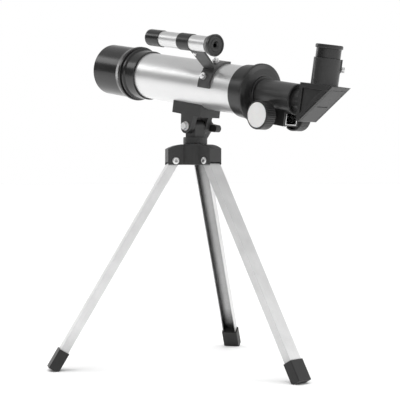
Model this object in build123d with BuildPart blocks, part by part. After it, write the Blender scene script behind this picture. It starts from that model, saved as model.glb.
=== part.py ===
"""Small refracting telescope on a folding table-top tripod.

Frame: millimetres, +Z up, floor at Z = 0, pan axis on the Z axis.
The tube points towards -X, and its eyepiece end towards +X.
Stations are distances along the tube axis from its nearest point to the pan axis.
"""
from build123d import *
from math import atan2, cos, pi, radians, sin, sqrt, tan
import os

# ---------------------------------------------------------------- driving dimensions
TUBE_TILT = 9.8            # how far the tube points up at rest, degrees
TUBE_HEIGHT = 325.0        # tube axis above the floor at the pan axis
TILT_HEIGHT = 275.0        # tilt bolt above the floor

TUBE_R = 27.0
TUBE_WALL = 1.0
TUBE_FRONT = -89.0
TUBE_REAR = 93.0
SHIELD_R = 30.3
SHIELD_FRONT = -153.0
SHIELD_REAR = -98.6
CELL_REAR = -77.4
LENS_R = 25.2
LENS_SEAT = -93.0          # station of the shoulder that the flint rests on

HOUSING_FRONT = 83.5
PLATE_FRONT = 102.6
PLATE_REAR = 106.4
PLATE_R = 32.3
BOSS_REAR = 112.0
BLOCK_REAR = 154.0
BLOCK_HALF = 11.0
BLOCK_LOW = -29.5

DRAW_R = 16.5
DRAW_WALL = 1.5
DRAW_FRONT = 45.0
DRAW_REAR = 160.3
SOCKET_FRONT = 151.0
SOCKET_REAR = 161.6
RUN_GAP = 0.07             # radial clearance of a running fit
SNUG_GAP = 0.05            # radial clearance of a push fit

GEAR_MODULE = 0.8
PINION_TEETH = 12
PINION_STATION = 137.0
PINION_UP = -20.5
SHAFT_R = 2.0
KNOB_R = 15.2
KNOB_INNER = 21.0
KNOB_OUTER = 34.8
KNOB_RIBS = 40
CAP_R = 13.3

BARREL_R = 12.25           # the small 24.5 mm eyepiece standard
DIAGONAL_STATION = 193.7
DIAGONAL_FRONT = 173.4
DIAGONAL_TOP = 19.0
DIAGONAL_LOW = -21.3
DIAGONAL_HALF = 14.3
MIRROR_THICK = 1.3
COVER_THICK = 2.0
HOLDER_R = 14.2
HOLDER_TOP = 46.4
EYEPIECE_TOP = 60.2
EYECUP_R = 14.2

FINDER_ANGLE = 47.0        # degrees from the top of the tube towards -Y
FINDER_OFFSET = 66.8
FINDER_R = 8.6
FINDER_FRONT = -30.0
FINDER_REAR = 79.0
BRACKET_FRONT = 35.6
BRACKET_REAR = 53.8
BRACKET_THICK = 2.3
BRACKET_SPAN = 47.5        # degrees each side of its middle
STUD_ANGLE = 23.0

CRADLE_FRONT = -17.0
CRADLE_REAR = 31.0
CRADLE_HALF = 15.0
CRADLE_LOW = -36.5
CHEEK_R = 8.3
POST_HALF = 8.0
COLLAR_R = 13.8
COLLAR_TOP = 262.6
TILT_BOLT_R = 2.5

HUB_LOW = 231.0
HUB_TOP = 254.0
HUB_R = 19.0
LOBE_R = 33.6
LOBE_HALF = 10.0
LOBE_WALL = 1.4
PIVOT_R = 24.8
PIVOT_HEIGHT = 235.4
RIVET_R = 2.4
SPLAY = 30.7               # legs from the vertical, degrees
LEG_AZIMUTHS = (0, 120, 240)
LEG_WIDTH = 16.6
LEG_DEPTH = 9.6
LEG_WALL = 1.0
LEG_HEAD = 6.5             # channel beyond the rivet
FOOT_WALL = 1.45
FOOT_LENGTH = 24.0
FOOT_CUT = 1.8             # how much of the foot's corner the floor takes off

# ---------------------------------------------------------------- datum planes
along = Vector(cos(radians(TUBE_TILT)), 0, -sin(radians(TUBE_TILT)))
upright = Vector(sin(radians(TUBE_TILT)), 0, cos(radians(TUBE_TILT)))

# X runs back along the tube, Y up and square to it, Z towards the -Y side.
OPTICAL = Plane(origin=(0, 0, TUBE_HEIGHT), x_dir=along, z_dir=(0, -1, 0))


def tube_point(station, up=0.0, side=0.0):
    """A point given along the tube, above its axis, and towards -Y."""
    return OPTICAL.from_local_coords(Vector(station, up, side))


def across(station, up=0.0, side=0.0):
    """Plane square to the tube: its X is up, its Y is towards the -Y side."""
    return Plane(origin=tube_point(station, up, side), x_dir=upright, z_dir=along)


# Both of these have X along their own axis, ready for turned outlines.
SHAFT = Plane(origin=tube_point(PINION_STATION, PINION_UP), x_dir=(0, 1, 0), z_dir=upright)
EYEPIECE = Plane(origin=tube_point(DIAGONAL_STATION), x_dir=upright, z_dir=(0, -1, 0))
finder_up = FINDER_OFFSET * cos(radians(FINDER_ANGLE))
finder_side = FINDER_OFFSET * sin(radians(FINDER_ANGLE))
FINDER = Plane(origin=tube_point(0, finder_up, finder_side), x_dir=along, z_dir=(0, -1, 0))
TILT = Plane(origin=(0, 0, TILT_HEIGHT), x_dir=(0, 1, 0), z_dir=(0, 0, 1))

tilt_local = OPTICAL.to_local_coords(Vector(0, 0, TILT_HEIGHT))
TILT_STATION = tilt_local.X
TILT_UP = tilt_local.Y
PITCH_R = GEAR_MODULE * PINION_TEETH / 2


# ---------------------------------------------------------------- helpers
def turn(points, plane=OPTICAL, mode=Mode.ADD):
    """Revolve a closed outline of (distance, radius) points about the plane's X axis."""
    with BuildSketch(plane) as outline:
        with BuildLine():
            Polyline(*points, close=True)
        make_face()
    revolve(outline.sketch, axis=Axis(plane.origin, plane.x_dir), mode=mode)


def ring(start, end, inner, outer, plane=OPTICAL, mode=Mode.ADD):
    """A plain turned ring, or a disc where inner is 0."""
    turn([(start, inner), (end, inner), (end, outer), (start, outer)], plane, mode)


def slab(plane, points, half, mode=Mode.ADD):
    """A closed outline extruded to both sides of its plane."""
    with BuildSketch(plane) as outline:
        with BuildLine():
            Polyline(*points, close=True)
        make_face()
    extrude(outline.sketch, amount=half, both=True, mode=mode)


def rod(plane, radius, start, end, mode=Mode.ADD):
    """A cylinder along the plane's normal."""
    with BuildSketch(plane.offset(start)) as outline:
        Circle(radius)
    extrude(outline.sketch, amount=end - start, mode=mode)


def lens(plane, radius, front, rear, front_bow, rear_bow):
    """A lens between two vertices; a positive bow bulges outwards at that face."""
    front_edge = front + front_bow
    rear_edge = rear - rear_bow
    with BuildSketch(plane) as outline:
        with BuildLine():
            lens_face((front, 0), (front_edge, radius), front_bow)
            Line((front_edge, radius), (rear_edge, radius))
            lens_face((rear, 0), (rear_edge, radius), -rear_bow)
            Line((rear, 0), (front, 0))
        make_face()
    revolve(outline.sketch, axis=Axis(plane.origin, plane.x_dir))


def lens_face(vertex, edge, bow):
    """Half of a spherical face seen from the side, or a straight line where it is flat."""
    if bow == 0:
        return Line(vertex, edge)
    curve_r = (edge[1] ** 2 + bow ** 2) / (2 * bow)
    middle_y = edge[1] / 2
    sag = abs(curve_r) - sqrt(curve_r ** 2 - middle_y ** 2)
    middle_x = vertex[0] + (sag if bow > 0 else -sag)
    return ThreePointArc(vertex, (middle_x, middle_y), edge)


def save(piece, name):
    """Label a finished piece and write it as its own STEP file."""
    piece.part.label = name
    export_step(piece.part, f"parts/{name}.step")


os.makedirs("parts", exist_ok=True)

# ---------------------------------------------------------------- objective end
SHIELD_BORE = 28.6
GROOVE_PITCH = 4.0
GROOVE_COUNT = 9

with BuildPart() as dew_shield:
    turn([
        (SHIELD_FRONT, 29.2), (SHIELD_FRONT, 29.8), (SHIELD_FRONT + 0.5, SHIELD_R),
        (-109, SHIELD_R), (-103.5, 31.7), (-102, 32.4), (SHIELD_REAR - 0.5, 32.4),
        (SHIELD_REAR, 31.9), (SHIELD_REAR, SHIELD_BORE), (SHIELD_FRONT + 0.6, SHIELD_BORE),
    ])
    for step in range(GROOVE_COUNT):
        groove = SHIELD_FRONT + 5 + step * GROOVE_PITCH
        turn([
            (groove, SHIELD_BORE - 0.2), (groove + 2, SHIELD_BORE - 0.2),
            (groove + 2, SHIELD_BORE), (groove, SHIELD_BORE + 0.6),
        ], mode=Mode.SUBTRACT)
save(dew_shield, "dew_shield")

CELL_BORE = 25.35
CELL_FRONT = -107.0

with BuildPart() as objective_cell:
    turn([
        (CELL_FRONT, CELL_BORE), (CELL_FRONT, 28.2), (CELL_FRONT + 0.3, 28.5),
        (SHIELD_REAR, 28.5), (SHIELD_REAR, 30.2), (SHIELD_REAR + 0.4, 30.6),
        (-94.4, 30.6), (-93.6, 29.9), (-92.6, 29.0), (-84, 28.9), (CELL_REAR - 0.5, 28.9),
        (CELL_REAR, 28.4), (CELL_REAR, TUBE_R + SNUG_GAP), (TUBE_FRONT, TUBE_R + SNUG_GAP),
        (TUBE_FRONT, 23.5), (LENS_SEAT, 23.5), (LENS_SEAT, CELL_BORE),
    ])
save(objective_cell, "objective_cell")

with BuildPart() as crown_lens:
    lens(OPTICAL, LENS_R, front=-101.6, rear=-96.6, front_bow=1.45, rear_bow=2.0)
save(crown_lens, "crown_lens")

with BuildPart() as flint_lens:
    lens(OPTICAL, LENS_R, front=-96.3, rear=LENS_SEAT, front_bow=-2.0, rear_bow=0)
save(flint_lens, "flint_lens")

with BuildPart() as lens_spacer:
    turn([
        (-98.58, LENS_R), (-98.46, 24.7), (-98.22, 24.7), (-98.34, LENS_R),
    ])
save(lens_spacer, "lens_spacer")

NOTCH = 2.0

with BuildPart() as lens_retaining_ring:
    ring(-103.4, -100.4, 23.8, CELL_BORE - SNUG_GAP)
    with BuildSketch(across(-103.4)) as notches:
        with PolarLocations(24.6, 2):
            Rectangle(4, NOTCH)
    extrude(notches.sketch, amount=1.2, mode=Mode.SUBTRACT)
save(lens_retaining_ring, "lens_retaining_ring")

# ---------------------------------------------------------------- main tube
STUD_R = 1.5
STUD_STATION = 42.8


def around(angle, station=0.0):
    """Plane at the tube axis whose normal points out at an angle from the top towards -Y."""
    out = OPTICAL.y_dir * cos(radians(angle)) + OPTICAL.z_dir * sin(radians(angle))
    return Plane(origin=tube_point(station), x_dir=along, z_dir=out)


STUD_PLANES = [around(FINDER_ANGLE + turn_by, STUD_STATION) for turn_by in (-STUD_ANGLE, STUD_ANGLE)]
CRADLE_SCREWS = (CRADLE_FRONT + 6, CRADLE_REAR - 6)
CRADLE_SCREW_R = 1.5
HOLE_GAP = 0.1             # radial clearance round a screw or stud


def under_cradle(station):
    """Plane on the underside of the cradle, its normal pointing into the tube."""
    return Plane(origin=tube_point(station, CRADLE_LOW), x_dir=along, z_dir=upright)


with BuildPart() as main_tube:
    ring(TUBE_FRONT, TUBE_REAR, TUBE_R - TUBE_WALL, TUBE_R)
    for stud_plane in STUD_PLANES:
        rod(stud_plane, STUD_R + HOLE_GAP, 20, 30, mode=Mode.SUBTRACT)
    for station in CRADLE_SCREWS:
        rod(under_cradle(station), CRADLE_SCREW_R + HOLE_GAP, -1, 12, mode=Mode.SUBTRACT)
save(main_tube, "main_tube")


def baffle(station, aperture):
    """A stop for stray light: a rim that grips the tube, and a web with a hole."""
    grip = TUBE_R - TUBE_WALL - SNUG_GAP
    turn([
        (station, aperture), (station, grip), (station + 6, grip), (station + 6, grip - 0.8),
        (station + 0.8, grip - 0.8), (station + 0.8, aperture + 0.5),
    ])


with BuildPart() as front_baffle:
    baffle(-45, 20.5)
save(front_baffle, "front_baffle")

with BuildPart() as rear_baffle:
    baffle(12, 16.5)
save(rear_baffle, "rear_baffle")

# ---------------------------------------------------------------- focuser
SLEEVE_FRONT = 79.0
SLEEVE_R = 18.6
DRAW_BORE = DRAW_R + RUN_GAP
RACK_HALF = 4.4
RACK_ROOT = PINION_UP + PITCH_R + 1.25 * GEAR_MODULE
RACK_TIP = PINION_UP + PITCH_R - GEAR_MODULE
LINER_HALF = 8.4
LINER_WALL = 0.7
LINER_LOW = -27.9
LINER_TOP = -16.0
LINER_FRONT = BOSS_REAR + 5
LINER_REAR = BLOCK_REAR + 0.8
SCREW_R = 1.25
BLOCK_SCREWS = ((125.0, -5.0), (151.0, 5.0))       # stations, and distances towards -Y


def below(screw):
    """Plane under the focuser block at a screw, its normal pointing away from the tube."""
    station, side = screw
    return Plane(origin=tube_point(station, BLOCK_LOW, side), x_dir=along, z_dir=-upright)


with BuildPart() as focuser_housing:
    turn([
        (HOUSING_FRONT, TUBE_R + SNUG_GAP), (HOUSING_FRONT, 28.6), (HOUSING_FRONT + 0.4, 29.0),
        (PLATE_FRONT - 1, 29.9), (PLATE_FRONT, 30.3), (PLATE_FRONT, PLATE_R - 0.4),
        (PLATE_FRONT + 0.4, PLATE_R), (PLATE_REAR - 0.6, PLATE_R), (PLATE_REAR, PLATE_R - 0.7),
        (PLATE_REAR + 1.4, 27), (PLATE_REAR + 2.2, 20.4), (PLATE_REAR + 2.4, 19.6),
        (BOSS_REAR - 0.6, 19.6), (BOSS_REAR, 19.0), (BOSS_REAR, DRAW_BORE),
        (SLEEVE_FRONT, DRAW_BORE), (SLEEVE_FRONT, SLEEVE_R), (PLATE_FRONT + 1, SLEEVE_R),
        (PLATE_FRONT + 1, 25.4), (TUBE_REAR, 25.4), (TUBE_REAR, TUBE_R + SNUG_GAP),
    ])
    slab(OPTICAL, [
        (PLATE_REAR, BLOCK_LOW), (BLOCK_REAR, BLOCK_LOW), (BLOCK_REAR, -10), (PLATE_REAR, -10),
    ], BLOCK_HALF)
    ring(PLATE_REAR - 1, BLOCK_REAR + 1, 0, DRAW_R + 0.4, mode=Mode.SUBTRACT)
    ring(PLATE_REAR - 1, BOSS_REAR, DRAW_BORE, DRAW_R + 0.8)
    slab(OPTICAL, [
        (BOSS_REAR + 3, -28), (BLOCK_REAR + 1, -28), (BLOCK_REAR + 1, -9), (BOSS_REAR + 3, -9),
    ], LINER_HALF + SNUG_GAP, mode=Mode.SUBTRACT)
    ring(-BLOCK_HALF - 1, BLOCK_HALF + 1, 0, SHAFT_R + RUN_GAP, SHAFT, mode=Mode.SUBTRACT)
    for screw in BLOCK_SCREWS:
        rod(below(screw), SCREW_R, -3, 1, mode=Mode.SUBTRACT)
save(focuser_housing, "focuser_housing")

with BuildPart() as pinion_retainer:
    with BuildSketch(across(LINER_FRONT)) as channel:
        with BuildLine():
            Polyline(
                (LINER_TOP, LINER_HALF), (LINER_LOW, LINER_HALF), (LINER_LOW, -LINER_HALF),
                (LINER_TOP, -LINER_HALF), (LINER_TOP, LINER_WALL - LINER_HALF),
                (LINER_LOW + LINER_WALL, LINER_WALL - LINER_HALF),
                (LINER_LOW + LINER_WALL, LINER_HALF - LINER_WALL),
                (LINER_TOP, LINER_HALF - LINER_WALL), close=True,
            )
        make_face()
    extrude(channel.sketch, amount=LINER_REAR - LINER_FRONT)
    ring(-BLOCK_HALF, BLOCK_HALF, 0, SHAFT_R + RUN_GAP, SHAFT, mode=Mode.SUBTRACT)
    for screw in BLOCK_SCREWS:
        rod(below(screw), SCREW_R, -3, 1, mode=Mode.SUBTRACT)
save(pinion_retainer, "pinion_retainer")

SCREW_HEAD = 1.5
SCREW_INSIDE = 5.5

with BuildPart() as retainer_screws:
    for screw in BLOCK_SCREWS:
        with BuildSketch(below(screw)) as head:
            Circle(2.5)
        extrude(head.sketch, amount=SCREW_HEAD, taper=18)
        rod(below(screw), SCREW_R - 0.02, -SCREW_INSIDE, 0.1)
        with BuildSketch(below(screw).offset(SCREW_HEAD)) as cross:
            Rectangle(2.6, 0.5)
            Rectangle(0.5, 2.6)
        extrude(cross.sketch, amount=-0.7, mode=Mode.SUBTRACT)
save(retainer_screws, "retainer_screws")

# ---------------------------------------------------------------- drawtube and rack
RACK_PITCH = pi * GEAR_MODULE
RACK_FRONT_TEETH = 19
RACK_REAR_TEETH = 4
FLANK = tan(radians(20))
BACKLASH = 0.12


def rack_tooth(middle):
    """One straight-sided rack tooth pointing down from the drawtube."""
    tip_half = RACK_PITCH / 4 - GEAR_MODULE * FLANK - BACKLASH
    root_half = tip_half + (RACK_ROOT - RACK_TIP) * FLANK
    slab(OPTICAL, [
        (middle - root_half, RACK_ROOT + 0.1), (middle + root_half, RACK_ROOT + 0.1),
        (middle + tip_half, RACK_TIP), (middle - tip_half, RACK_TIP),
    ], RACK_HALF)


RACK_RIB_TOP = -12.9
RACK_RIB_HALF = 5.6

with BuildPart() as drawtube:
    ring(DRAW_FRONT, DRAW_REAR, DRAW_R - DRAW_WALL, DRAW_R)
    rack_front = PINION_STATION - (RACK_FRONT_TEETH + 1) * RACK_PITCH
    rack_rear = PINION_STATION + (RACK_REAR_TEETH + 1) * RACK_PITCH
    slab(OPTICAL, [
        (rack_front - 1, RACK_ROOT), (rack_rear + 1, RACK_ROOT),
        (rack_rear + 1, RACK_RIB_TOP), (rack_front - 1, RACK_RIB_TOP),
    ], RACK_RIB_HALF)
    slab(OPTICAL, [
        (rack_front, -DRAW_R - 1), (rack_rear, -DRAW_R - 1),
        (rack_rear, RACK_ROOT), (rack_front, RACK_ROOT),
    ], RACK_HALF, mode=Mode.SUBTRACT)
    for count in range(-RACK_FRONT_TEETH, RACK_REAR_TEETH + 1):
        rack_tooth(PINION_STATION + (count - 0.5) * RACK_PITCH)
    ring(rack_front, rack_rear, DRAW_R, DRAW_R + 2, mode=Mode.SUBTRACT)
save(drawtube, "drawtube")

SOCKET_BORE = BARREL_R + RUN_GAP
SOCKET_GRIP = DRAW_R - DRAW_WALL - SNUG_GAP
FLANGE_FRONT = DRAW_REAR + SNUG_GAP
FLANGE_R = DRAW_R - 0.1

with BuildPart() as drawtube_socket:
    turn([
        (SOCKET_FRONT, SOCKET_BORE), (SOCKET_FRONT, SOCKET_GRIP), (FLANGE_FRONT, SOCKET_GRIP),
        (FLANGE_FRONT, FLANGE_R), (SOCKET_REAR - 0.4, FLANGE_R), (SOCKET_REAR, FLANGE_R - 0.4),
        (SOCKET_REAR, FLANGE_R - 1.6), (SOCKET_REAR - 0.5, FLANGE_R - 2.0),
        (SOCKET_REAR - 0.5, SOCKET_BORE),
    ])
save(drawtube_socket, "drawtube_socket")


# ---------------------------------------------------------------- focus knobs
def involute(base_r, radius):
    """Angle of an involute from its base circle, in radians, at a radius."""
    pressure = sqrt(max((radius / base_r) ** 2 - 1, 0))
    return pressure - atan2(pressure, 1)


def tooth_outline():
    """Outline of one pinion tooth pointing along its sketch's +X."""
    base_r = PITCH_R * cos(radians(20))
    root_r = PITCH_R - 1.25 * GEAR_MODULE
    tip_r = PITCH_R + 0.92 * GEAR_MODULE
    half = (RACK_PITCH / 4 - BACKLASH) / PITCH_R + involute(base_r, PITCH_R)
    radii = [base_r, (base_r + PITCH_R) / 2, PITCH_R, (PITCH_R + tip_r) / 2, tip_r]
    side = [(r, half - involute(base_r, r)) for r in radii]
    side = [(root_r - 0.3, half - 0.06)] + side
    upper = [(r * cos(a), r * sin(a)) for r, a in side]
    lower = [(x, -y) for x, y in reversed(upper)]
    return upper + lower


# The shaft's cross plane: X is up and square to the tube, so one tooth points at the rack.
GEAR = Plane(origin=SHAFT.origin, x_dir=upright, z_dir=(0, 1, 0))
GEAR_HALF = RACK_HALF - 0.4

with BuildPart() as pinion_gear:
    with BuildSketch(GEAR) as blank:
        Circle(PITCH_R - 1.25 * GEAR_MODULE)
        for count in range(PINION_TEETH):
            with Locations(Rotation(0, 0, count * 360 / PINION_TEETH)):
                Polygon(*tooth_outline(), align=None)
        Circle(SHAFT_R + 0.02, mode=Mode.SUBTRACT)
    extrude(blank.sketch, amount=GEAR_HALF, both=True)
save(pinion_gear, "pinion_gear")

with BuildPart() as pinion_shaft:
    ring(-KNOB_OUTER + 2.5, KNOB_OUTER - 2.5, 0, SHAFT_R, SHAFT)
save(pinion_shaft, "pinion_shaft")


def focus_knob(side):
    """Ribbed knob with a dished inner face; side is -1 or +1 along Y."""
    outline = [
        (KNOB_INNER, 6.2), (KNOB_INNER - 1.5, 5.7), (KNOB_INNER - 1.5, SHAFT_R + 0.02),
        (KNOB_OUTER - 2.4, SHAFT_R + 0.02), (KNOB_OUTER - 2.4, 0), (KNOB_OUTER - 0.9, 0),
        (KNOB_OUTER - 0.9, CAP_R + SNUG_GAP), (KNOB_OUTER, CAP_R + SNUG_GAP),
        (KNOB_OUTER, KNOB_R - 0.9), (KNOB_OUTER - 0.9, KNOB_R),
        (KNOB_INNER + 0.7, KNOB_R), (KNOB_INNER, KNOB_R - 0.7), (KNOB_INNER, 13.2),
        (KNOB_INNER + 5, 12.8), (KNOB_INNER + 5, 6.6),
    ]
    turn([(side * y, r) for y, r in outline], SHAFT)
    ribs = Plane(origin=SHAFT.origin + Vector(0, side * KNOB_INNER, 0), z_dir=(0, side, 0))
    with BuildSketch(ribs) as flutes:
        with PolarLocations(KNOB_R + 0.25, KNOB_RIBS):
            Circle(0.62)
    extrude(flutes.sketch, amount=KNOB_OUTER - KNOB_INNER, mode=Mode.SUBTRACT)


def knob_cap(side):
    """Thin domed disc set into the outer face of a knob."""
    face = KNOB_OUTER - 0.9
    outline = [(face, 0), (face, CAP_R), (face + 0.7, CAP_R), (face + 1.1, CAP_R - 0.6)]
    outline += [(face + 1.5, CAP_R / 2), (face + 1.6, 0)]
    turn([(side * y, r) for y, r in outline], SHAFT)


with BuildPart() as left_focus_knob:
    focus_knob(-1)
save(left_focus_knob, "left_focus_knob")

with BuildPart() as right_focus_knob:
    focus_knob(1)
save(right_focus_knob, "right_focus_knob")

with BuildPart() as left_knob_cap:
    knob_cap(-1)
save(left_knob_cap, "left_knob_cap")

with BuildPart() as right_knob_cap:
    knob_cap(1)
save(right_knob_cap, "right_knob_cap")

# ---------------------------------------------------------------- diagonal
BARREL_FRONT = 151.5
LIGHT_BORE = 10.6
BODY_SLOPE = DIAGONAL_STATION + sqrt(2) * MIRROR_THICK      # station where the slope meets the axis
SLOPE = Plane(
    origin=tube_point(DIAGONAL_STATION), x_dir=(0, 1, 0), z_dir=(along - upright).normalized(),
)
THUMB_UP = 36.0
thumb_out = Vector(along.X, 1, along.Z).normalized()
THUMB = Plane(origin=tube_point(DIAGONAL_STATION, THUMB_UP), z_dir=thumb_out)
# Through the holder's axis and the thumbscrew: X points out to the screw, Y up the holder.
THUMB_RIB = Plane(
    origin=tube_point(DIAGONAL_STATION), x_dir=thumb_out, z_dir=thumb_out.cross(upright),
)

MIRROR_WIDTH = 23.8
MIRROR_LENGTH = 43.8
body_top = BODY_SLOPE + DIAGONAL_TOP
body_low = BODY_SLOPE + DIAGONAL_LOW
FRAME_FRONT = 3.6
FRAME_TOP = 5.0
FRAME_SLOPE = 4.0
RECESS = 2.6
PANEL_THICK = 1.0
recess_front = DIAGONAL_FRONT + FRAME_FRONT
recess_top = DIAGONAL_TOP - FRAME_TOP
recess_slope = BODY_SLOPE - sqrt(2) * FRAME_SLOPE
RECESS_CORNERS = [
    (recess_front, recess_top), (recess_slope + recess_top, recess_top),
    (recess_front, recess_front - recess_slope),
]

with BuildPart() as diagonal_body:
    slab(OPTICAL, [
        (DIAGONAL_FRONT, DIAGONAL_LOW), (DIAGONAL_FRONT, DIAGONAL_TOP),
        (body_top, DIAGONAL_TOP), (body_low, DIAGONAL_LOW),
    ], DIAGONAL_HALF)
    for side in (-1, 1):
        slab(OPTICAL.offset(side * DIAGONAL_HALF), RECESS_CORNERS, RECESS, mode=Mode.SUBTRACT)
    ring(DIAGONAL_TOP - 1, HOLDER_TOP, 0, HOLDER_R, EYEPIECE)
    ring(BARREL_FRONT, DIAGONAL_FRONT + 1, 0, BARREL_R)
    slab(THUMB_RIB, [
        (10, HOLDER_TOP), (HOLDER_R + 0.9, HOLDER_TOP), (HOLDER_R + 0.9, THUMB_UP - 1.5),
        (HOLDER_R - 0.5, THUMB_UP - 4.5), (10, THUMB_UP - 4.5),
    ], 3)
    ring(BARREL_FRONT - 1, DIAGONAL_STATION, 0, LIGHT_BORE, mode=Mode.SUBTRACT)
    ring(0, HOLDER_TOP, 0, LIGHT_BORE, EYEPIECE, mode=Mode.SUBTRACT)
    ring(22, HOLDER_TOP + 1, 0, BARREL_R + RUN_GAP, EYEPIECE, mode=Mode.SUBTRACT)
    with BuildSketch(SLOPE) as pocket:
        Rectangle(MIRROR_WIDTH + 0.2, MIRROR_LENGTH + 0.2)
    extrude(pocket.sketch, amount=5, mode=Mode.SUBTRACT)
    rod(THUMB, 1.5, 5, 30, mode=Mode.SUBTRACT)
save(diagonal_body, "diagonal_body")

with BuildPart() as diagonal_side_panels:
    for side in (-1, 1):
        with BuildSketch(OPTICAL.offset(side * (DIAGONAL_HALF - RECESS))) as panel:
            with BuildLine():
                Polyline(*RECESS_CORNERS, close=True)
            make_face()
            offset(amount=-0.3, kind=Kind.INTERSECTION, mode=Mode.REPLACE)
        extrude(panel.sketch, amount=side * PANEL_THICK)
save(diagonal_side_panels, "diagonal_side_panels")

with BuildPart() as diagonal_mirror:
    with BuildSketch(SLOPE) as glass:
        Rectangle(MIRROR_WIDTH, MIRROR_LENGTH)
    extrude(glass.sketch, amount=MIRROR_THICK - 0.05)
save(diagonal_mirror, "diagonal_mirror")

cover_length = (DIAGONAL_TOP - DIAGONAL_LOW) * sqrt(2)
cover_middle = (DIAGONAL_TOP + DIAGONAL_LOW) / sqrt(2)
COVER_STEP = 0.8           # thin layer that leaves a shadow gap round the cover
COVER_INSET = 1.2
COVER_FACE = Plane(
    origin=SLOPE.from_local_coords(Vector(0, 0, MIRROR_THICK + COVER_THICK)),
    x_dir=(0, 1, 0), z_dir=SLOPE.z_dir,
)


def cover_layer(start, end, inset):
    """Part of the cover between two depths, with its ends level with the body's top and foot."""
    front = BODY_SLOPE + sqrt(2) * start
    rear = BODY_SLOPE + sqrt(2) * end
    top = DIAGONAL_TOP - inset
    low = DIAGONAL_LOW + inset
    slab(OPTICAL, [
        (front + low, low), (front + top, top), (rear + top, top), (rear + low, low),
    ], DIAGONAL_HALF - inset)


with BuildPart() as diagonal_cover:
    cover_layer(0, COVER_STEP, COVER_INSET)
    cover_layer(COVER_STEP, COVER_THICK, 0)
    chamfer(diagonal_cover.faces().sort_by(Axis(COVER_FACE.origin, COVER_FACE.z_dir))[-1].edges(), 0.4)
    with BuildSketch(COVER_FACE) as grooves:
        with Locations((0, cover_middle)):
            Rectangle(2 * DIAGONAL_HALF - 4.6, cover_length - 4.6)
            Rectangle(2 * DIAGONAL_HALF - 5.8, cover_length - 5.8, mode=Mode.SUBTRACT)
            Rectangle(16, 2)
    extrude(grooves.sketch, amount=-0.5, mode=Mode.SUBTRACT)
save(diagonal_cover, "diagonal_cover")

THUMB_R = 2.9

with BuildPart() as eyepiece_thumbscrew:
    rod(THUMB, 1.42, BARREL_R + 0.9, HOLDER_R + 3)
    rod(THUMB, THUMB_R, HOLDER_R + 1.2, HOLDER_R + 4.2)
    with BuildSketch(THUMB.offset(HOLDER_R + 1.2)) as knurl:
        with PolarLocations(THUMB_R + 0.05, 16):
            Circle(0.28)
    extrude(knurl.sketch, amount=3, mode=Mode.SUBTRACT)
save(eyepiece_thumbscrew, "eyepiece_thumbscrew")

# ---------------------------------------------------------------- eyepiece
SHOULDER_LOW = HOLDER_TOP + 0.1
SHOULDER_R = 12.9
CAP_SEAT = 56.0

with BuildPart() as eyepiece_barrel:
    turn([
        (25, 11.0), (25, BARREL_R - 0.4), (25.4, BARREL_R), (SHOULDER_LOW, BARREL_R),
        (SHOULDER_LOW, SHOULDER_R - 0.2), (SHOULDER_LOW + 0.2, SHOULDER_R), (CAP_SEAT, SHOULDER_R),
        (CAP_SEAT, 11.0),
    ], EYEPIECE)
    ring(36, 37.2, 7.5, 11.5, EYEPIECE)
save(eyepiece_barrel, "eyepiece_barrel")

with BuildPart() as field_lens:
    lens(EYEPIECE, 10.9, front=27, rear=30.6, front_bow=0, rear_bow=2.0)
save(field_lens, "field_lens")

with BuildPart() as field_lens_ring:
    ring(30.8, 32.4, 9.6, 10.95, EYEPIECE)
save(field_lens_ring, "field_lens_ring")

with BuildPart() as eyepiece_cap:
    turn([
        (47.5, 5.2), (47.5, 10.9), (CAP_SEAT + 0.05, 10.9), (CAP_SEAT + 0.05, EYECUP_R - 0.8),
        (CAP_SEAT + 0.3, EYECUP_R - 0.3), (CAP_SEAT + 0.9, EYECUP_R),
        (EYEPIECE_TOP - 1.1, EYECUP_R), (EYEPIECE_TOP - 0.4, EYECUP_R - 0.4),
        (EYEPIECE_TOP, EYECUP_R - 1.2), (EYEPIECE_TOP, 12.0), (58.2, 10.4), (57.2, 6.4), (54.8, 5.2),
        (54.8, 4.0), (54.0, 4.0), (54.0, 5.2),
    ], EYEPIECE)
save(eyepiece_cap, "eyepiece_cap")

with BuildPart() as eye_lens:
    lens(EYEPIECE, 5.15, front=51.0, rear=53.9, front_bow=0, rear_bow=1.0)
save(eye_lens, "eye_lens")

# ---------------------------------------------------------------- finder scope
FINDER_BORE = 7.8
RING_FRONT = 23.5
RING_REAR = 43.0
RING_R = 9.3
EYECUP_FRONT = 69.0

with BuildPart() as finder_tube:
    ring(-17, 71.5, FINDER_BORE, FINDER_R, FINDER)
save(finder_tube, "finder_tube")

with BuildPart() as finder_front_cell:
    turn([
        (FINDER_FRONT, 7.0), (FINDER_FRONT, 8.4), (FINDER_FRONT + 0.8, 9.1),
        (FINDER_FRONT + 2.5, 9.35), (-7.4, 9.35), (-7, 9.0), (-7, FINDER_R + SNUG_GAP),
        (-17.1, FINDER_R + SNUG_GAP), (-17.1, 6.6), (-22, 6.6), (-22, 7.85), (-27, 7.85),
        (-27, 7.0),
    ], FINDER)
save(finder_front_cell, "finder_front_cell")

with BuildPart() as finder_objective:
    lens(FINDER, 7.8, front=-25.6, rear=-22.1, front_bow=0.9, rear_bow=0.6)
save(finder_objective, "finder_objective")

with BuildPart() as finder_eyecup:
    turn([
        (62, 5.4), (62, FINDER_BORE - SNUG_GAP), (71.6, FINDER_BORE - SNUG_GAP),
        (71.6, FINDER_R + SNUG_GAP), (EYECUP_FRONT, FINDER_R + SNUG_GAP),
        (EYECUP_FRONT, 9.9), (74.5, 11.7), (77.8, 12.0), (FINDER_REAR, 11.2),
        (FINDER_REAR, 10.0), (78.1, 9.6), (78.1, 7.4), (78.6, 7.0), (78.6, 4.6),
        (77.2, 2.4), (74, 2.4), (74, 5.4),
    ], FINDER)
save(finder_eyecup, "finder_eyecup")

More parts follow.
